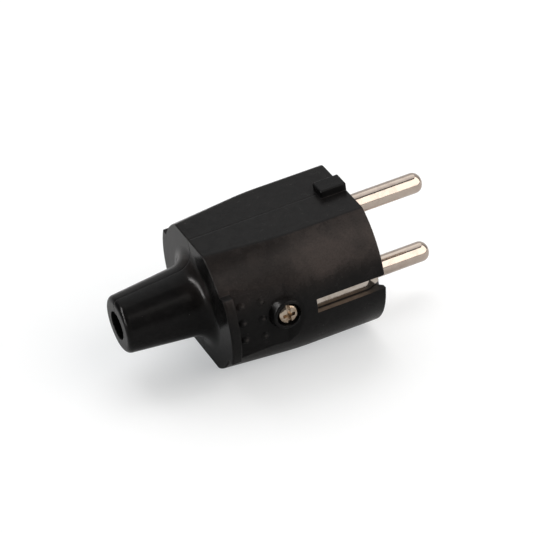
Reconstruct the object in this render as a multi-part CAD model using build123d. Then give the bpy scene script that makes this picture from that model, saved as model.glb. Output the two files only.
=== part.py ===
from build123d import *
import os

# A rewireable round-pin earthed plug in moulded rubber. Sizes are in millimetres.
# X runs along the plug towards the pin tips and Z along the line of the two pins.
# The origin is on the face that meets the socket, midway between the pins.

# Pins
pin_pitch = 19.0
pin_diameter = 4.8
pin_length = 19.0
pin_tip_round = 2.0
seat_diameter = 5.4
seat_height = 0.3
head_diameter = 6.2
head_length = 11.0
wire_hole_diameter = 3.4
wire_hole_depth = 8.0

# Outside of the rubber shell, lengths counted back from its rim
rim_setback = 0.15
shell_diameter = 37.2
shell_across_flats = 31.0
straight_length = 20.05
barrel_length = 38.15
barrel_taper = 2.9
barrel_blend = 80.0
corner_round = 2.0
edge_round = 0.3
boot_length = 19.5
boot_base_diameter = 17.2
boot_tip_diameter = 13.4
boot_base_fillet = 4.0
boot_tip_round = 1.3
boot_bore_diameter = 6.8
tab_length = 6.35
tab_width = 4.5
tab_height = 1.95
tab_round = 0.35

# Inside of the rubber shell
shell_wall = 2.6
flat_wall = 2.0
panel_wall = 2.1
rear_wall = 3.0
rim_chamfer = 1.3

# Finger grip on each side: a standing lip at the rear, a sunk panel with nubs and a ramp up to the barrel
lip_stand = 1.85
lip_crest_width = 2.2
lip_foot_width = 2.5
lip_round = 0.5
grip_length = 11.85
ramp_length = 3.8
lip_half_height = 8.6
grip_depth_front = 1.85
grip_depth_rear = 2.7
grip_bulge = 0.35
border_round = 1.0
nub_diameter = 2.0
nub_height = 0.32
nub_columns = (2.35, 6.65)
nub_pitch = 4.6
nub_rows = 3

# Collar for the fixing screw, on one side only, where the ramp meets the panel
collar_foot_diameter = 8.4
collar_diameter = 7.0
collar_height = 1.6
collar_round = 0.4
collar_bore_diameter = 5.7
fixing_head_diameter = 5.0
fixing_head_height = 1.8
fixing_head_sink = 0.05
fixing_setback = 0.15
fixing_shank_diameter = 2.6
fixing_shank_length = 7.0
fixing_recess_depth = 1.0
fixing_recess_width = 0.9
fixing_recess_span = 2.9
fixing_dome_round = 1.0
bush_diameter = 4.6
bush_length = 4.6
boss_diameter = 8.0
boss_recess = 0.6

# Earth strap and its slots
slot_width = 3.6
slot_clearance = 0.15
strap_thickness = 1.2
strap_width = 3.2
strap_across = 33.8
strap_tip_across = 30.8
strap_bend_length = 3.45
strap_tip_setback = 0.45
strap_bend_round = 3.0
strap_corner_round = 2.0
strap_cover = 2.1
strap_ramp_gap = 1.0
strap_eye_diameter = 7.0
earth_screw_offset = 7.5
earth_washer_side = 6.6
earth_washer_thickness = 1.0

# Contact carrier
fit_gap = 0.12
seat_gap = 0.05
pin_gap = 0.05
plate_thickness = 6.0
tower_wall = 1.7
web_thickness = 5.4
web_reach = 12.0
base_top = 3.4
base_thickness = 6.0
base_half_width = 10.0
mouth_depth = 1.6
mouth_width = 8.0

# Cord saddle
saddle_setback = 4.7
saddle_width = 4.6
saddle_wall = 1.6
saddle_foot_thickness = 1.8
saddle_foot_reach = 10.0
saddle_screw_offset = 7.6

# Slotted screws of the terminals and the saddle
screw_head_diameter = 4.6
screw_head_height = 1.9
screw_shank_diameter = 2.9
screw_slot_width = 0.8
screw_slot_depth = 0.9
thread_gap = 0.05
earth_screw_length = 7.0
saddle_screw_cover = 1.25

# Room beyond the surfaces, for tools that cut right through
beyond = 3.0

shell_radius = shell_diameter / 2
rear_diameter = shell_diameter - barrel_taper
lip_diameter = rear_diameter + 2 * lip_stand
flat_height = shell_across_flats / 2
boot_end = barrel_length + boot_length
head_gap = 2 * pin_gap
grip_rear = barrel_length - lip_foot_width
grip_knee = grip_rear - grip_length
grip_front = grip_knee - ramp_length
fixing_station = grip_knee - fixing_setback
strap_depth = grip_front - strap_ramp_gap
slot_length = strap_depth - strap_cover
saddle_station = barrel_length - rear_wall - saddle_setback
tapped_diameter = screw_shank_diameter + 2 * thread_gap
inside_length = plate_thickness + head_length


def station(distance):
    """X of a point this far behind the shell's rim."""
    return -rim_setback - distance


def barrel_radius(distance):
    """Radius of the barrel this far behind the rim."""
    taper = barrel_taper / 2 / (barrel_length - straight_length)
    return shell_radius - taper * max(0.0, distance - straight_length)


grip_floor_front = barrel_radius(grip_knee) - grip_depth_front
grip_floor_rear = barrel_radius(grip_rear) - grip_depth_rear


def hollow_radius(distance):
    """Radius of the shell's hollow between the grips, this far behind the rim."""
    share = (distance - grip_knee) / (barrel_length - rear_wall - grip_knee)
    return grip_floor_front + share * (grip_floor_rear - grip_floor_front) - panel_wall


collar_top = grip_floor_front + collar_height
boss_face = grip_floor_front - panel_wall - boss_recess
fixing_ledge = collar_top - fixing_head_sink - fixing_head_height
strap_reach = strap_across / 2
strap_rear = station(strap_depth)
web_rear = strap_rear + strap_thickness + seat_gap
saddle_seat = base_top - saddle_foot_thickness - 2 * seat_gap
saddle_screw_side = saddle_screw_offset + screw_shank_diameter / 2
saddle_screw_room = (hollow_radius(saddle_station) ** 2 - saddle_screw_side**2) ** 0.5 - saddle_seat
saddle_screw_length = saddle_screw_room - saddle_screw_cover


def between(x_range, y_range, z_range):
    """Box between two values along each axis."""
    spans = [sorted(pair) for pair in (x_range, y_range, z_range)]
    middle = [(low + high) / 2 for low, high in spans]
    size = [high - low for low, high in spans]
    return Pos(*middle) * Box(*size)


def slab(half_height):
    """Long box about the axis, cut to a height along Z."""
    reach = 2 * boot_end
    return Box(2 * reach, 2 * reach, 2 * half_height)


def turned(points):
    """Solid turned about the plug's axis from (x, radius) points."""
    return revolve(make_face(Polyline(*points, close=True)), Axis.X)


def rod_x(y, z, x_range, diameter):
    """Round rod along X."""
    low, high = sorted(x_range)
    return Pos((low + high) / 2, y, z) * Rot(0, 90, 0) * Cylinder(diameter / 2, high - low)


def rod_y(x, z, y_range, diameter):
    """Round rod along Y."""
    low, high = sorted(y_range)
    return Pos(x, (low + high) / 2, z) * Rot(90, 0, 0) * Cylinder(diameter / 2, high - low)


def slotted_screw(length):
    """Cheese head screw along Z, its head standing on the plane Z = 0."""
    screw = Pos(0, 0, screw_head_height / 2) * Cylinder(screw_head_diameter / 2, screw_head_height)
    screw += Pos(0, 0, -length / 2) * Cylinder(screw_shank_diameter / 2, length)
    slot = Box(2 * screw_head_diameter, screw_slot_width, 2 * screw_slot_depth)
    return screw - Pos(0, 0, screw_head_height) * slot


def barrel_and_boot():
    """Outside of the shell: barrel with two flats, running into the cord boot."""
    rim = station(0)
    rear = station(barrel_length)
    end = station(boot_end)
    profile = make_face(
        Polyline(
            (rim, 0),
            (rim, shell_radius),
            (station(straight_length), shell_radius),
            (rear, rear_diameter / 2),
            (rear, boot_base_diameter / 2),
            (end, boot_tip_diameter / 2),
            (end, 0),
            close=True,
        )
    )
    rounds = (
        (station(straight_length), shell_radius, barrel_blend),
        (rear, boot_base_diameter / 2, boot_base_fillet),
        (end, boot_tip_diameter / 2, boot_tip_round),
    )
    for x, radius, rounding in rounds:
        corner = profile.vertices().sort_by_distance((x, radius, 0))[0]
        profile = fillet(corner, rounding)
    body = revolve(profile, Axis.X) & slab(flat_height)
    flats = body.faces().filter_by(Axis.Z)
    long_edges = [edge for edge in flats.edges() if edge.bounding_box().size.X > corner_round]
    body = fillet(long_edges, corner_round)
    rear_face, rim_face = body.faces().filter_by(Axis.X).sort_by(Axis.X)[-2:]
    ends = rear_face.outer_wire().edges() + rim_face.outer_wire().edges()
    return fillet(ends, edge_round)


def guide_tab(side):
    """Tab on a flat, flush with the rim, that guides the plug into a sunk socket."""
    half = tab_width / 2
    tab = between((station(0), station(tab_length)), (-half, half), (0, side * (flat_height + tab_height)))
    outer_edges = [edge for edge in tab.edges() if abs(edge.center().Z) > tab_round]
    return fillet(outer_edges, tab_round)


def screw_collar():
    """Ring round the head of the fixing screw, wider at its foot."""
    ring = Cone(collar_foot_diameter / 2, collar_diameter / 2, collar_top - fixing_ledge)
    brim = ring.edges().filter_by(GeomType.CIRCLE).sort_by(Axis.Z)[-1]
    middle = (collar_top + fixing_ledge) / 2
    return Pos(station(fixing_station), -middle, 0) * Rot(90, 0, 0) * fillet(brim, collar_round)


def cavity(front, gap):
    """Hollow of the shell, or with a gap the room that the carrier may fill."""
    end = station(barrel_length - rear_wall) + gap
    room = turned(
        [
            (front, 0),
            (front, shell_radius - shell_wall - gap),
            (station(grip_front), shell_radius - shell_wall - gap),
            (station(grip_knee), hollow_radius(grip_knee) - gap),
            (end, hollow_radius(barrel_length - rear_wall) - gap),
            (end, 0),
        ]
    )
    return room & slab(flat_height - flat_wall - gap)


def grip_floor(distance):
    """Distance of the grip panel's floor from the plug's middle plane."""
    share = (distance - grip_knee) / (grip_rear - grip_knee)
    chord = grip_floor_front + share * (grip_floor_rear - grip_floor_front)
    return chord + 4 * grip_bulge * share * (1 - share)


def grip_cut():
    """What the finger grip takes off the barrel on the +Y side."""
    step = station(grip_rear)
    knee = station(grip_knee)
    middle = (grip_knee + grip_rear) / 2
    outer = shell_radius + beyond
    slope = (shell_radius - grip_floor_front) / (grip_knee - grip_front)
    ramp_end = (knee + (outer - grip_floor_front) / slope, outer)
    crest = station(barrel_length - lip_crest_width)
    wall_slope = (crest - step) / (lip_diameter / 2 - grip_floor_rear)
    wall_end = (step + wall_slope * (outer - grip_floor_rear), outer)
    outline = make_face(
        [
            ThreePointArc(
                (step, grip_floor_rear), (station(middle), grip_floor(middle)), (knee, grip_floor_front)
            ),
            Polyline((knee, grip_floor_front), ramp_end, wall_end, (step, grip_floor_rear)),
        ]
    )
    return extrude(outline, shell_radius, both=True)


def grip_lip():
    """Lip that the fingers pull on, behind the grip on the +Y side."""
    rear = station(barrel_length)
    front = station(grip_rear)
    ring = rod_x(0, 0, (rear, front), lip_diameter) - rod_x(0, 0, (rear, front), boot_base_diameter)
    reach = lip_diameter
    lip = ring & between((rear, front), (0, reach), (-lip_half_height, lip_half_height))
    outer_edges = [edge for edge in lip.edges() if edge.center().Y > lip_diameter / 2 - lip_foot_width]
    return fillet(outer_edges, lip_round) - grip_cut()


def grip_border(shell):
    """Edges where the grips' panels and ramps run out into the barrel."""
    straight = (GeomType.LINE, GeomType.CIRCLE)
    border = []
    for edge in shell.edges():
        middle = edge.center()
        along = station(grip_rear) < middle.X < station(grip_front) + ramp_length
        if along and abs(middle.Y) > grip_floor_rear and edge.geom_type not in straight:
            border.append(edge)
    return border


def nubs():
    """Domed nubs on the grip panel on the +Y side."""
    sphere = ((nub_diameter / 2) ** 2 + nub_height**2) / (2 * nub_height)
    middle = (nub_rows - 1) / 2
    domes = []
    for column in nub_columns:
        place = grip_rear - column
        depth = grip_floor(place) + nub_height - sphere
        for row in range(nub_rows):
            seat = Pos(station(place), depth, (row - middle) * nub_pitch)
            domes.append(seat * Rot(90, 0, 0) * Sphere(sphere))
    return domes


def leg_slot(length, reach):
    """Slot cut along both sides from the front, out to a distance from the middle plane."""
    half = slot_width / 2
    return between((beyond, station(length)), (-reach, reach), (-half, half))


def rubber_shell():
    """The moulded shell with its boot, tabs, grips, collar and slots."""
    shell = barrel_and_boot()
    grip = grip_cut()
    for cut in (grip, mirror(grip, Plane.XZ)):
        shell -= cut
    shell = fillet(grip_border(shell), border_round)
    for added in [grip_lip(), *nubs()]:
        shell += added
        shell += mirror(added, Plane.XZ)
    for side in (-1, 1):
        shell += guide_tab(side)
    fixing = station(fixing_station)
    outside = shell_radius + beyond
    shell += screw_collar()
    shell -= cavity(beyond, 0)
    open_ends = shell.faces().filter_by(Axis.X).filter_by(lambda face: face.inner_wires())
    mouth = open_ends.sort_by(Axis.X)[-1].inner_wires()[0]
    shell = chamfer(mouth.edges(), rim_chamfer)
    shell -= leg_slot(slot_length, outside)
    shell -= leg_slot(strap_depth + slot_clearance, strap_reach + slot_clearance)
    shell -= rod_y(fixing, 0, (-fixing_ledge, -outside), collar_bore_diameter)
    shell -= rod_y(fixing, 0, (0, -outside), fixing_shank_diameter + 2 * fit_gap)
    bore = (station(barrel_length - rear_wall) + beyond, station(boot_end) - beyond)
    return shell - rod_x(0, 0, bore, boot_bore_diameter)


def strap_outline(inset):
    """Outline of the strap's outer surface, moved inwards."""
    tip = station(strap_tip_setback)
    bend = station(strap_bend_length)
    points = [(tip, strap_tip_across / 2), (bend, strap_reach), (strap_rear, strap_reach)]
    mirrored = [(x, -y) for x, y in reversed(points)]
    face = make_face(Polyline(*points, *mirrored, close=True))
    for x, rounding in ((bend, strap_bend_round), (strap_rear, strap_corner_round)):
        for side in (-1, 1):
            corner = face.vertices().sort_by_distance((x, side * strap_reach, 0))[0]
            face = fillet(corner, rounding)
    return offset(face, -inset) if inset else face


def strap_room(inset):
    """Solid that fills the strap's bow and its mouth, this far inside the strap's outer surface."""
    inner = extrude(strap_outline(inset), shell_diameter, both=True)
    tip = station(strap_tip_setback) - inset
    half = strap_tip_across / 2 - inset
    return inner + between((tip - seat_gap, beyond), (-half, half), (-shell_diameter, shell_diameter))


def earth_strap():
    """Bent strip: two legs in the side slots, joined by a cross bar with the earth terminal's eye."""
    strap = extrude(strap_outline(0), strap_width / 2, both=True)
    eye = rod_x(earth_screw_offset, 0, (strap_rear, strap_rear + strap_thickness), strap_eye_diameter)
    strap -= strap_room(strap_thickness)
    strap += eye
    hole = (strap_rear - beyond, strap_rear + beyond)
    return strap - rod_x(earth_screw_offset, 0, hole, tapped_diameter)


def contact_carrier():
    """Hard insert that holds the pins, the strap, the cord saddle and the fixing bush."""
    far = shell_diameter
    tower_half = head_diameter / 2 + head_gap + tower_wall
    base_bottom = base_top + base_thickness
    fixing = station(fixing_station)
    carrier = between((0, -plate_thickness), (-far, far), (-far, far))
    for side in (-1, 1):
        inner = pin_pitch / 2 - tower_half
        tower_end = -inside_length - pin_gap
        carrier += between((0, tower_end), (-tower_half, tower_half), (side * inner, side * far))
    carrier += between((0, web_rear), (-base_bottom, web_reach), (-web_thickness / 2, web_thickness / 2))
    base = (-base_half_width, base_half_width)
    carrier += between((0, station(barrel_length)), (-base_bottom, -base_top), base)
    carrier += rod_y(fixing, 0, (-base_bottom, -boss_face), boss_diameter)
    carrier = carrier & cavity(0, fit_gap)
    for side in (-1, 1):
        axis = side * pin_pitch / 2
        carrier -= rod_x(0, axis, (-plate_thickness, beyond), seat_diameter + 2 * pin_gap)
        carrier -= rod_x(0, axis, (-plate_thickness, -far), head_diameter + 2 * head_gap)
        access = screw_head_diameter + 2 * head_gap
        carrier -= rod_y(terminal_station(), axis, (0, far), access)
        hole = (-base_top + beyond, -base_top - saddle_screw_length)
        carrier -= rod_y(station(saddle_station), side * saddle_screw_offset, hole, tapped_diameter)
    groove_half = strap_width / 2 + seat_gap
    groove = between((beyond, strap_rear - slot_clearance), (-far, far), (-groove_half, groove_half))
    mouth_half = mouth_width / 2
    groove += between((beyond, -mouth_depth), (-far, far), (-mouth_half, mouth_half))
    carrier -= groove - strap_room(strap_thickness + seat_gap)
    carrier -= rod_x(earth_screw_offset, 0, (strap_rear, strap_rear + earth_screw_length), tapped_diameter)
    carrier -= rod_y(fixing, 0, (-far, bush_length - boss_face), bush_diameter)
    drilled = (-far, fixing_shank_length - fixing_ledge)
    return carrier - rod_y(fixing, 0, drilled, fixing_shank_diameter + 2 * fit_gap)


def terminal_station():
    """X of the terminal screws."""
    return -inside_length + wire_hole_depth / 2


def pin(side):
    """Turned pin: rounded tip, thicker seat in the carrier, and a terminal head drilled for its wire."""
    axis = side * pin_pitch / 2
    shank = rod_x(0, axis, (0, pin_length), pin_diameter)
    tip = shank.edges().filter_by(GeomType.CIRCLE).sort_by(Axis.X)[-1]
    solid = fillet(tip, pin_tip_round)
    solid += rod_x(0, axis, (-plate_thickness, seat_height), seat_diameter)
    solid += rod_x(0, axis, (-inside_length, -plate_thickness), head_diameter)
    solid -= rod_x(0, axis, (-inside_length - beyond, -inside_length + wire_hole_depth), wire_hole_diameter)
    return solid - rod_y(terminal_station(), axis, (0, head_diameter), tapped_diameter)


def terminal_screw(side):
    """Slotted screw that clamps a wire in its pin, driven from the +Y side."""
    seat = Plane((terminal_station(), head_diameter / 2 + seat_gap, side * pin_pitch / 2), z_dir=(0, 1, 0))
    return seat * slotted_screw(head_diameter / 2 - wire_hole_diameter / 4)


def earth_screw():
    """Slotted screw through the washer and the strap's eye into the carrier's web."""
    back = strap_rear - earth_washer_thickness - 2 * seat_gap
    seat = Plane((back, earth_screw_offset, 0), z_dir=(-1, 0, 0))
    return seat * slotted_screw(earth_screw_length)


def earth_washer():
    """Square plate that presses the earth wire on the strap."""
    back = strap_rear - earth_washer_thickness - seat_gap
    half = earth_washer_side / 2
    plate = between(
        (back, strap_rear - seat_gap), (earth_screw_offset - half, earth_screw_offset + half), (-half, half)
    )
    return plate - rod_x(earth_screw_offset, 0, (back - beyond, strap_rear + beyond), tapped_diameter)


def cord_saddle():
    """Bridge that presses the cord on the carrier's base, with a foot each side."""
    middle = station(saddle_station)
    length = (middle - saddle_width / 2, middle + saddle_width / 2)
    seat = seat_gap - base_top
    arch = boot_bore_diameter + 2 * fit_gap
    saddle = rod_x(0, 0, length, arch + 2 * saddle_wall)
    saddle += between(length, (seat, seat + saddle_foot_thickness), (-saddle_foot_reach, saddle_foot_reach))
    saddle -= rod_x(0, 0, (length[0] - beyond, length[1] + beyond), arch)
    saddle = saddle & between(length, (seat, shell_radius), (-shell_radius, shell_radius))
    for side in (-1, 1):
        saddle -= rod_y(middle, side * saddle_screw_offset, (-shell_radius, shell_radius), tapped_diameter)
    return saddle


def saddle_screw(side):
    """Slotted screw of the saddle, driven from the +Y side."""
    place = (station(saddle_station), -saddle_seat, side * saddle_screw_offset)
    seat = Plane(place, z_dir=(0, 1, 0))
    return seat * slotted_screw(saddle_screw_length)


def fixing_screw():
    """Pan head screw with a cross recess and a slot, seen in the collar."""
    radius = fixing_head_diameter / 2
    head = Pos(0, 0, fixing_head_height / 2) * Cylinder(radius, fixing_head_height)
    rim = head.edges().filter_by(GeomType.CIRCLE).sort_by(Axis.Z)[-1]
    screw = fillet(rim, fixing_dome_round)
    screw += Pos(0, 0, -fixing_shank_length / 2) * Cylinder(fixing_shank_diameter / 2, fixing_shank_length)
    for turn, span in ((0, 2 * fixing_head_diameter), (90, fixing_recess_span)):
        bar = Box(span, fixing_recess_width, 2 * fixing_recess_depth)
        screw -= Pos(0, 0, fixing_head_height) * Rot(0, 0, turn) * bar
    seat = Plane((station(fixing_station), -fixing_ledge - seat_gap, 0), x_dir=(0, 0, 1), z_dir=(0, -1, 0))
    return seat * screw


def fixing_bush():
    """Threaded bush set in the carrier's boss."""
    fixing = station(fixing_station)
    bush = rod_y(fixing, 0, (-boss_face, bush_length - boss_face), bush_diameter - 2 * seat_gap)
    return bush - rod_y(fixing, 0, (-shell_radius, 0), fixing_shank_diameter + 2 * thread_gap)


nodes = {
    "rubber_shell": rubber_shell(),
    "contact_carrier": contact_carrier(),
    "upper_pin": pin(1),
    "lower_pin": pin(-1),
    "upper_terminal_screw": terminal_screw(1),
    "lower_terminal_screw": terminal_screw(-1),
    "earth_strap": earth_strap(),
    "earth_screw": earth_screw(),
    "earth_washer": earth_washer(),
    "cord_saddle": cord_saddle(),
    "upper_saddle_screw": saddle_screw(1),
    "lower_saddle_screw": saddle_screw(-1),
    "fixing_screw": fixing_screw(),
    "fixing_bush": fixing_bush(),
}

os.makedirs("parts", exist_ok=True)
for name, solid in nodes.items():
    export_step(solid, f"parts/{name}.step")
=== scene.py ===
import math

import bpy
from mathutils import Matrix, Quaternion, Vector


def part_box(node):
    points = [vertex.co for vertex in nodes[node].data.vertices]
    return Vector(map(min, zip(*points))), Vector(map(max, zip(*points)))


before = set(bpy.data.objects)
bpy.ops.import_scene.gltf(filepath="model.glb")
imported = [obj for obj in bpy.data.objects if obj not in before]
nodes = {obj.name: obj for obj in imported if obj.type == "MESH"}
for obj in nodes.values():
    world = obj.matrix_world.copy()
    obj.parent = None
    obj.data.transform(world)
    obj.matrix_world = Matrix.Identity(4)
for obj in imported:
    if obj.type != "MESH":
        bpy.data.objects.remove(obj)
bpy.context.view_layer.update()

MM = 0.001

# Places on the plug that its looks follow, in millimetres of the frame: X towards the pin tips, Z up
BARREL_RADIUS = 18.6
FLAT_Z = 15.5
REAR_X = -38.1
GRIP_RAMP_X = -20.5
TAB_X = -6.3
SLOT_HALF_WIDTH = 1.8
NUB_REAR_X = -33.45
NUB_COLUMN_PITCH = 4.3
NUB_ROW_PITCH = 4.6
NUB_OUTER_Y = 16.2

# Colours of the rubber, linear
CLEAN_RUBBER = (0.0072, 0.0071, 0.0072, 1)
SMEARED_RUBBER = (0.0100, 0.0098, 0.0098, 1)
# Bloom colour, which also paints a sheen on the barrel
BLOOM_AND_SHEEN = (0.0550, 0.0437, 0.0396, 1)
DUST = (0.10, 0.09, 0.08, 1)
# Painted highlight on the nub tips
NUB_TIP_HIGHLIGHT = (0.075, 0.066, 0.062, 1)
# Dust with painted light on the lower slot walls
SLOT_DUST_AND_LIGHT = (0.15, 0.11, 0.08, 1)


class Graph:
    """Shader nodes of one tree, with short forms that add and link them."""

    def __init__(self, tree):
        self.tree = tree

    def put(self, socket, value):
        """Links an output to a socket, or sets the socket to a constant."""
        if isinstance(value, bpy.types.NodeSocket):
            self.tree.links.new(value, socket)
        else:
            socket.default_value = value

    def node(self, kind, settings=None, **inputs):
        """New node with its settings, and its inputs by name."""
        made = self.tree.nodes.new(kind)
        for key, value in (settings or {}).items():
            setattr(made, key, value)
        for key, value in inputs.items():
            self.put(made.inputs[key], value)
        return made

    def position(self):
        """Place in the object's own frame, in millimetres."""
        place = self.node("ShaderNodeTexCoord").outputs["Object"]
        scaled = self.node("ShaderNodeVectorMath", {"operation": "SCALE"}, Vector=place, Scale=1 / MM)
        return scaled.outputs["Vector"]

    def facing(self):
        """Direction that the surface faces."""
        return self.node("ShaderNodeNewGeometry").outputs["Normal"]

    def parts(self, vector):
        """X, Y and Z of a vector."""
        split = self.node("ShaderNodeSeparateXYZ", Vector=vector)
        return split.outputs["X"], split.outputs["Y"], split.outputs["Z"]

    def math(self, operation, *values):
        made = self.node("ShaderNodeMath", {"operation": operation})
        for index, value in enumerate(values):
            self.put(made.inputs[index], value)
        return made.outputs["Value"]

    def product(self, first, *others):
        """All values multiplied."""
        for other in others:
            first = self.math("MULTIPLY", first, other)
        return first

    def noise(self, vector, scale, detail=3.0, roughness=0.55, distortion=0.0):
        made = self.node("ShaderNodeTexNoise", Vector=vector, Scale=scale, Detail=detail)
        self.put(made.inputs["Roughness"], roughness)
        self.put(made.inputs["Distortion"], distortion)
        return made.outputs["Fac"]

    def cells(self, vector, scale):
        """Distance from the nearest of many scattered points."""
        return self.node("ShaderNodeTexVoronoi", Vector=vector, Scale=scale).outputs["Distance"]

    def ramp(self, value, span, ends=(0.0, 1.0)):
        """Smooth step across a span, which may run downwards, with these values at its two ends."""
        made = self.node("ShaderNodeMapRange", {"interpolation_type": "SMOOTHSTEP"})
        for index, number in enumerate((value, *span, *ends)):
            self.put(made.inputs[index], number)
        return made.outputs["Result"]

    def mix(self, factor, first, second):
        """Mix of two colours."""
        factor_socket, first_socket, second_socket, result_socket = 0, 6, 7, 2
        made = self.node("ShaderNodeMix", {"data_type": "RGBA"})
        self.put(made.inputs[factor_socket], factor)
        self.put(made.inputs[first_socket], first)
        self.put(made.inputs[second_socket], second)
        return made.outputs[result_socket]

    def bump(self, height, strength, depth, normal=None):
        """Normal of a bump that is this deep, in millimetres, where the height goes from 0 to 1."""
        made = self.node("ShaderNodeBump", Height=height, Strength=strength, Distance=depth * MM)
        if normal is not None:
            self.put(made.inputs["Normal"], normal)
        return made.outputs["Normal"]


def new_material(name):
    """Node material, with its graph and its Principled shader."""
    material = bpy.data.materials.new(name)
    material.use_nodes = True
    tree = material.node_tree
    return material, Graph(tree), tree.nodes["Principled BSDF"]


def off_pitch(graph, value, start, pitch):
    """Signed distance of a coordinate from the nearest of a row of places."""
    moved = graph.math("SUBTRACT", value, start)
    count = graph.math("ROUND", graph.math("DIVIDE", moved, pitch))
    return graph.math("SUBTRACT", moved, graph.math("MULTIPLY", count, pitch))


def painted_nub_highlights(graph, place):
    """Painted highlight on the tips of the grip nubs: 1 at a tip, 0 elsewhere."""
    x, y, z = graph.parts(place)
    along = off_pitch(graph, x, NUB_REAR_X, NUB_COLUMN_PITCH)
    up = off_pitch(graph, z, 0.0, NUB_ROW_PITCH)
    square = graph.math("ADD", graph.math("MULTIPLY", along, along), graph.math("MULTIPLY", up, up))
    nub_front_x = NUB_REAR_X + NUB_COLUMN_PITCH
    outside, inside = 1.75, 1.35
    return graph.product(
        graph.ramp(square, (0.26, 0.03)),
        graph.ramp(x, (NUB_REAR_X - outside, NUB_REAR_X - inside)),
        graph.ramp(x, (nub_front_x + outside, nub_front_x + inside)),
        graph.ramp(graph.math("ABSOLUTE", z), (NUB_ROW_PITCH + 1.8, NUB_ROW_PITCH + 1.2)),
        graph.ramp(graph.math("ABSOLUTE", y), (NUB_OUTER_Y + 0.4, NUB_OUTER_Y)),
    )


def rubber_bloom_and_sheen(graph, place, smear):
    """Grey-brown bloom with a painted sheen on the upper half of the barrel, weaker on faces turned back or
    up: 0 on clean rubber, about 1 where it is strongest.
    """
    x, y, z = graph.parts(place)
    ahead, _, up = graph.parts(graph.facing())
    side = graph.math("ABSOLUTE", y)
    on_barrel = graph.ramp(x, (REAR_X - 7.9, REAR_X + 1.1), (0.0, 0.57))
    more_in_front = graph.ramp(x, (GRIP_RAMP_X - 6.5, GRIP_RAMP_X + 6.5), (0.0, 0.43))
    clouds = graph.noise(place, scale=0.11, detail=4.0, roughness=0.6)
    mottle = graph.noise(place, scale=2.6, detail=2.0)
    upper_half = graph.ramp(z, (0.0, 9.0))
    fainter_below_flat = graph.ramp(z, (FLAT_Z - 4.0, FLAT_Z - 0.5), (1.0, 0.6))
    fainter_at_side = graph.ramp(side, (BARREL_RADIUS - 1.8, BARREL_RADIUS - 0.2), (1.0, 0.25))
    # Painted sheen: weaker where the surface faces straight back or straight up, and none on the tab
    little_on_rear_face = graph.ramp(ahead, (-0.98, -0.88), (0.1, 1.0))
    little_on_flat = graph.ramp(up, (0.88, 0.98), (1.0, 0.12))
    none_on_tab = graph.ramp(z, (FLAT_Z - 0.3, FLAT_Z + 0.4), (1.0, 0.0))
    return graph.product(
        graph.ramp(clouds, (0.38, 0.60), (0.62, 1.0)),
        graph.ramp(smear, (0.30, 0.70), (0.82, 1.0)),
        graph.math("ADD", on_barrel, more_in_front),
        upper_half,
        fainter_below_flat,
        fainter_at_side,
        little_on_rear_face,
        little_on_flat,
        none_on_tab,
        graph.ramp(mottle, (0.3, 0.7), (0.8, 1.2)),
    )


def rubber_dust(graph, place):
    """Loose specks of dust, in patches."""
    specks = graph.ramp(graph.cells(place, scale=0.55), (0.075, 0.03))
    patches = graph.ramp(graph.noise(place, scale=0.3, detail=2.0), (0.5, 0.62))
    return graph.math("MULTIPLY", specks, patches)


def slot_dust_and_light(graph, place, smear):
    """Dust with painted light on the upward lower wall of the earth slots, outside the strip and behind its
    bend.
    """
    x, y, z = graph.parts(place)
    _, _, up = graph.parts(graph.facing())
    bend_front, bend_rear = -2.0, -7.0
    return graph.product(
        graph.ramp(up, (0.7, 0.95)),
        graph.ramp(graph.math("ABSOLUTE", z), (SLOT_HALF_WIDTH + 0.3, SLOT_HALF_WIDTH + 0.1)),
        graph.ramp(graph.math("ABSOLUTE", y), (BARREL_RADIUS - 1.7, BARREL_RADIUS - 1.0)),
        graph.ramp(x, (bend_front, bend_rear)),
        graph.ramp(smear, (0.25, 0.7), (0.6, 1.0)),
    )


def rubber_normal(graph, place):
    """Softened edges, a fine grain, and the mould's parting line as a groove that stops at the tabs."""
    _, y, z = graph.parts(place)
    edge_radius, seam_depth, grain_depth = 0.35, 0.22, 0.03
    rounded = graph.node("ShaderNodeBevel", {"samples": 6}, Radius=edge_radius * MM)
    coarse = graph.math("MULTIPLY", graph.noise(place, scale=7.0, detail=2.0), 0.7)
    fine = graph.math("MULTIPLY", graph.noise(place, scale=16.0, detail=1.0), 0.3)
    normal = graph.bump(graph.math("ADD", coarse, fine), 0.35, grain_depth, rounded.outputs["Normal"])
    seam = graph.product(
        graph.ramp(graph.math("ABSOLUTE", y), (0.26, 0.05)),
        graph.ramp(graph.math("ABSOLUTE", z), (FLAT_Z + 0.9, FLAT_Z + 0.4)),
    )
    return graph.bump(graph.math("SUBTRACT", 1.0, seam), 1.0, seam_depth, normal)


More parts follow.
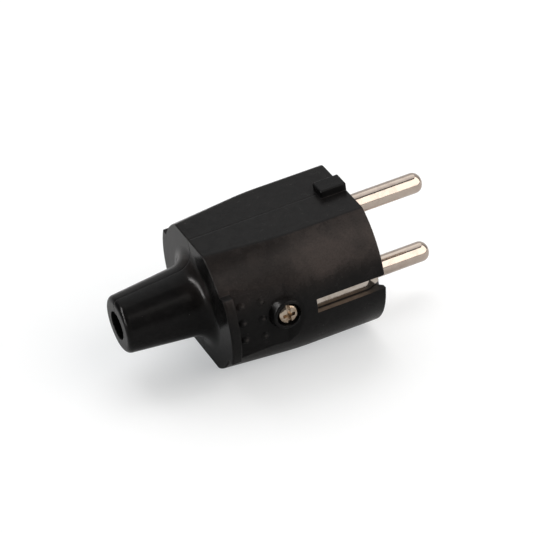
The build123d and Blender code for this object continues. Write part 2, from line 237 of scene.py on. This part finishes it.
def rubber_material():
    """Black moulded rubber: fine grain, bloom with a painted sheen, dust, painted highlights on the nub
    tips, dust with painted light in the slots, and the parting line.
    """
    material, graph, shader = new_material("rubber")
    place = graph.position()
    x, _, _ = graph.parts(place)
    smear = graph.noise(place, scale=0.45, detail=5.0, roughness=0.65, distortion=0.6)
    bloom_and_sheen = rubber_bloom_and_sheen(graph, place, smear)
    dust = rubber_dust(graph, place)
    dust_cover, nub_highlight_cover = 0.5, 0.38

    coloured = graph.mix(graph.ramp(smear, (0.35, 0.7)), CLEAN_RUBBER, SMEARED_RUBBER)
    # Bloom with a painted sheen, shaped by height and by the way the surface faces
    coloured = graph.mix(bloom_and_sheen, coloured, BLOOM_AND_SHEEN)
    coloured = graph.mix(graph.math("MULTIPLY", dust, dust_cover), coloured, DUST)
    # Painted highlight on each nub tip
    coloured = graph.mix(graph.math("MULTIPLY", painted_nub_highlights(graph, place), nub_highlight_cover), coloured, NUB_TIP_HIGHLIGHT)
    # Dust with painted light on the upward lower walls of the slots
    coloured = graph.mix(slot_dust_and_light(graph, place, smear), coloured, SLOT_DUST_AND_LIGHT)
    graph.put(shader.inputs["Base Color"], coloured)

    bloom_and_sheen_roughness, dust_roughness = 0.10, 0.2
    rough = graph.ramp(smear, (0.25, 0.75), (0.15, 0.22))
    rougher_barrel = graph.ramp(x, (REAR_X - 1.9, REAR_X + 10.1), (0.0, 0.06))
    rough = graph.math("ADD", rough, rougher_barrel)
    rough = graph.math("ADD", rough, graph.math("MULTIPLY", bloom_and_sheen, bloom_and_sheen_roughness))
    rough = graph.math("ADD", rough, graph.math("MULTIPLY", dust, dust_roughness))
    graph.put(shader.inputs["Roughness"], rough)
    shader.inputs["IOR"].default_value = 1.18
    graph.put(shader.inputs["Normal"], rubber_normal(graph, place))
    return material


def metal_material(name, colour, worn, roughness, lines_along, line_scale):
    """Plated or bare metal: drawn lines along one axis and faint tarnish."""
    material, graph, shader = new_material(name)
    place = graph.position()
    stretched = graph.node("ShaderNodeMapping", Vector=place)
    stretched.inputs["Scale"].default_value = [1.0 if axis == lines_along else line_scale for axis in "XYZ"]
    lines = graph.noise(stretched.outputs["Vector"], scale=0.8)
    tarnish = graph.noise(place, scale=0.5, detail=4.0, roughness=0.6)
    graph.put(shader.inputs["Base Color"], graph.mix(graph.ramp(tarnish, (0.42, 0.7)), colour, worn))
    rough = graph.math("ADD", roughness, graph.ramp(lines, (0.3, 0.7), (-0.03, 0.05)))
    rough = graph.math("ADD", rough, graph.ramp(tarnish, (0.5, 0.75), (0.0, 0.06)))
    graph.put(shader.inputs["Roughness"], rough)
    shader.inputs["Metallic"].default_value = 1.0
    graph.put(shader.inputs["Normal"], graph.bump(lines, 0.25, depth=0.01))
    return material


def moulded_material(name, dark, light):
    """Hard moulded plastic: faint mottle, satin, with a fine spark-eroded grain."""
    material, graph, shader = new_material(name)
    place = graph.position()
    mottle = graph.noise(place, scale=0.4, detail=4.0)
    grain = graph.noise(place, scale=6.0, detail=2.0)
    graph.put(shader.inputs["Base Color"], graph.mix(graph.ramp(mottle, (0.35, 0.7)), dark, light))
    graph.put(shader.inputs["Roughness"], graph.ramp(mottle, (0.3, 0.7), (0.42, 0.55)))
    graph.put(shader.inputs["Normal"], graph.bump(grain, 0.4, depth=0.03))
    return material


def dress(material, *names):
    """Gives CAD nodes one material."""
    for name in names:
        nodes[name].data.materials.clear()
        nodes[name].data.materials.append(material)


def dress_plug():
    """Gives every CAD node its material."""
    dress(rubber_material(), "rubber_shell")
    pin = metal_material(
        "nickel_pin",
        colour=(0.575, 0.488, 0.42, 1),
        worn=(0.51, 0.428, 0.37, 1),
        roughness=0.08,
        lines_along="X",
        line_scale=14.0,
    )
    dress(pin, "upper_pin", "lower_pin")
    strip = metal_material(
        "nickel_strip",
        colour=(0.62, 0.56, 0.50, 1),
        worn=(0.50, 0.43, 0.36, 1),
        roughness=0.12,
        lines_along="X",
        line_scale=10.0,
    )
    dress(strip, "earth_strap", "earth_washer")
    zinc = metal_material(
        "zinc_screw",
        colour=(0.50, 0.42, 0.34, 1),
        worn=(0.22, 0.145, 0.085, 1),
        roughness=0.16,
        lines_along="Y",
        line_scale=4.0,
    )
    dress(zinc, "fixing_screw", "upper_terminal_screw", "lower_terminal_screw", "earth_screw")
    dress(zinc, "upper_saddle_screw", "lower_saddle_screw")
    brass = metal_material(
        "bare_brass",
        colour=(0.72, 0.56, 0.28, 1),
        worn=(0.50, 0.36, 0.16, 1),
        roughness=0.26,
        lines_along="Y",
        line_scale=5.0,
    )
    dress(brass, "fixing_bush")
    carrier = moulded_material(
        "carrier_plastic", dark=(0.045, 0.045, 0.048, 1), light=(0.062, 0.062, 0.066, 1)
    )
    dress(carrier, "contact_carrier")
    saddle = moulded_material("saddle_plastic", dark=(0.10, 0.10, 0.105, 1), light=(0.13, 0.13, 0.135, 1))
    dress(saddle, "cord_saddle")


def floor_material():
    """Pale matt floor that the camera sees as white, with the plug's shadow, and as plain white far away."""
    material, graph, shader = new_material("floor")
    shader.inputs["Base Color"].default_value = (0.57, 0.57, 0.57, 1)
    shader.inputs["Roughness"].default_value = 0.9
    shader.inputs["Specular IOR Level"].default_value = 0.0
    near, far = 160.0, 900.0
    glow_near, glow_far, glow_mirrored = 0.455, 1.0, 0.08
    path = graph.node("ShaderNodeLightPath")
    distance = graph.node("ShaderNodeVectorMath", {"operation": "LENGTH"}, Vector=graph.position())
    glow = graph.ramp(distance.outputs["Value"], (near, far), (glow_near, glow_far))
    mirrored = graph.math("MAXIMUM", path.outputs["Is Glossy Ray"], path.outputs["Is Transmission Ray"])
    seen = graph.math("MULTIPLY", path.outputs["Is Camera Ray"], glow)
    seen = graph.math("ADD", seen, graph.math("MULTIPLY", mirrored, glow_mirrored))
    shader.inputs["Emission Color"].default_value = (0.965, 0.985, 1.0, 1)
    graph.put(shader.inputs["Emission Strength"], seen)
    return material


def add_floor():
    """Floor that touches the lower tab and the lower rear edge, as the plug rests."""
    shell_low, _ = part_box("rubber_shell")
    tab = Vector((TAB_X * MM, 0, shell_low.z))
    edge = Vector((REAR_X * MM, 0, -FLAT_Z * MM))
    slope = math.atan2(tab.z - edge.z, tab.x - edge.x)
    mesh = bpy.data.meshes.new("floor")
    half = 3.0
    corners = [(-half, -half, 0), (half, -half, 0), (half, half, 0), (-half, half, 0)]
    mesh.from_pydata(corners, [], [(0, 1, 2, 3)])
    floor = bpy.data.objects.new("floor", mesh)
    bpy.context.scene.collection.objects.link(floor)
    floor.location = tab
    floor.rotation_euler = (0, -slope, 0)
    floor.data.materials.append(floor_material())


def add_world():
    """Dim studio room: lighter behind the plug and dark in front of it, but white to the camera."""
    world = bpy.data.worlds.new("studio")
    bpy.context.scene.world = world
    world.use_nodes = True
    graph = Graph(world.node_tree)
    background = world.node_tree.nodes["Background"]
    lighter_way = Vector((0.35, 0.90, 0.25)).normalized()
    facing = graph.node("ShaderNodeVectorMath", {"operation": "DOT_PRODUCT"})
    graph.put(facing.inputs[0], graph.node("ShaderNodeTexCoord").outputs["Generated"])
    graph.put(facing.inputs[1], lighter_way)
    light = graph.ramp(facing.outputs["Value"], (0.3, 0.95), (0.10, 0.62))
    path = graph.node("ShaderNodeLightPath")
    strength = graph.math("MAXIMUM", light, path.outputs["Is Camera Ray"])
    background.inputs["Color"].default_value = (1, 1, 1, 1)
    graph.put(background.inputs["Strength"], strength)


def add_lamp(name, place, size, radiance, colour=(1, 1, 1), lean=0.0, lights=True, mirrored=True):
    """Rectangular soft box aimed at the plug; its power follows from its brightness and area.

    A lamp that doesn't light shows in reflections only, and one that isn't mirrored only lights.
    """
    width, height = size
    lamp = bpy.data.lights.new(name, "AREA")
    lamp.shape = "RECTANGLE"
    lamp.size = width
    lamp.size_y = height
    lamp.energy = radiance * math.pi * width * height
    lamp.color = colour
    made = bpy.data.objects.new(name, lamp)
    bpy.context.scene.collection.objects.link(made)
    made.location = place
    made.visible_camera = False
    made.visible_diffuse = lights
    made.visible_glossy = mirrored
    middle_of_plug = Vector((-20 * MM, 0, 0))
    aim = (middle_of_plug - Vector(place)).to_track_quat("-Z", "Y")
    made.rotation_mode = "QUATERNION"
    made.rotation_quaternion = aim @ Quaternion((0, 0, 1), math.radians(lean))


def add_lamps():
    """Large box at the right, narrow strip at the left for the glints, and two soft lamps from above."""
    add_lamp(
        "right_box", place=(0.60, -0.50, 0.50), size=(1.30, 1.14), radiance=2.1, colour=(1.0, 0.96, 0.92)
    )
    add_lamp(
        "left_strip",
        place=(-0.85, -0.05, 0.50),
        size=(0.09, 1.25),
        radiance=54.0,
        colour=(1.0, 0.98, 0.97),
        lean=18,
        lights=False,
    )
    add_lamp("overhead", place=(0.0, 0.40, 0.88), size=(1.4, 0.95), radiance=0.7)
    add_lamp("top_fill", place=(0.13, 0.54, 0.76), size=(1.0, 0.7), radiance=1.9, mirrored=False)


def add_camera():
    """Camera at the photograph's angle, solved from the pins' known sizes."""
    azimuth, elevation, roll = (math.radians(angle) for angle in (-22.242, 34.483, -6.835))
    distance = 0.70838
    photo_width_pixels, focal_pixels = 533, 3112.03
    offset_right, offset_up = -18.495 * MM, -5.512 * MM
    pivot = Vector((-0.5 * MM, 0, 0))

    level = Vector((math.cos(azimuth), math.sin(azimuth), 0))
    ahead = Vector((-math.sin(azimuth), math.cos(azimuth), 0))
    back = -math.cos(elevation) * ahead + Vector((0, 0, math.sin(elevation)))
    upright = back.cross(level)
    right = math.cos(roll) * level + math.sin(roll) * upright
    up = -math.sin(roll) * level + math.cos(roll) * upright
    place = pivot + distance * back
    target = pivot + offset_right * right + offset_up * up
    away = (place - target).normalized()
    side = up.cross(away).normalized()
    top = away.cross(side)

    data = bpy.data.cameras.new("camera")
    data.sensor_width = 36.0
    data.lens = focal_pixels / photo_width_pixels * data.sensor_width
    data.clip_start = 0.01
    data.clip_end = 20
    camera = bpy.data.objects.new("camera", data)
    bpy.context.scene.collection.objects.link(camera)
    turn = Matrix((side, top, away)).transposed().to_4x4()
    camera.matrix_world = Matrix.Translation(place) @ turn
    bpy.context.scene.camera = camera


dress_plug()
add_floor()
add_world()
add_lamps()
add_camera()
bpy.context.scene.view_settings.view_transform = "Standard"
